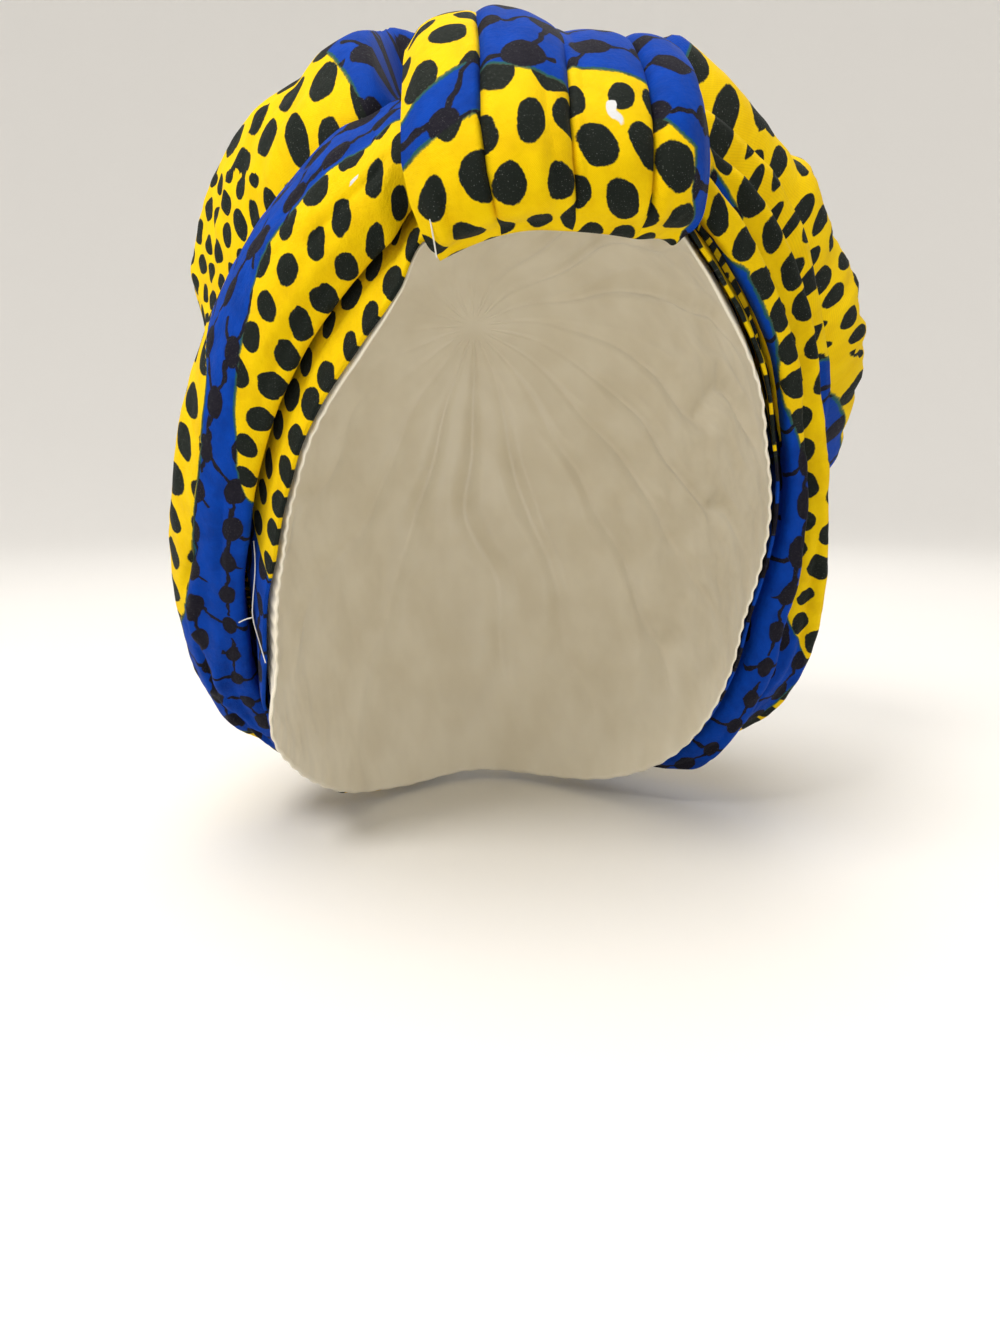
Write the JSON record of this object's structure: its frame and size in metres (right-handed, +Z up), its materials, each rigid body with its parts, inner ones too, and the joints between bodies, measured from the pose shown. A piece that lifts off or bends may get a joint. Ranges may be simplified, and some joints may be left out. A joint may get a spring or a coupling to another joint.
{
  "type": "turban head wrap",
  "caption": "Pre-sewn turban head wrap: a gathered cloth crown over a satin lining bag, with rolled and pleated folds that meet under a pleated loop above the forehead",
  "frame": {"origin": "where the top of the wearer's head meets the inside of the lining", "axes": "+Z is up out of the head, -Y is the way the face looks, +X is towards the wearer's left ear"},
  "size_m": [0.2333, 0.2406, 0.2566],
  "materials": {
    "printed_cotton": "matte woven cotton, saturated yellow ground with dark dots",
    "printed_cotton_blue": "the same matte woven cotton where its blue twig band runs, with yellow dotted areas beside it",
    "lining_satin": "cream satin, soft sheen"
  },
  "bodies": {
    "root": {"lining": "lining_satin", "face_band": "printed_cotton", "crown": "printed_cotton", "right_roll": "printed_cotton_blue", "left_pleats": "printed_cotton_blue", "centre_loop": "printed_cotton"}
  },
  "joints": []
}
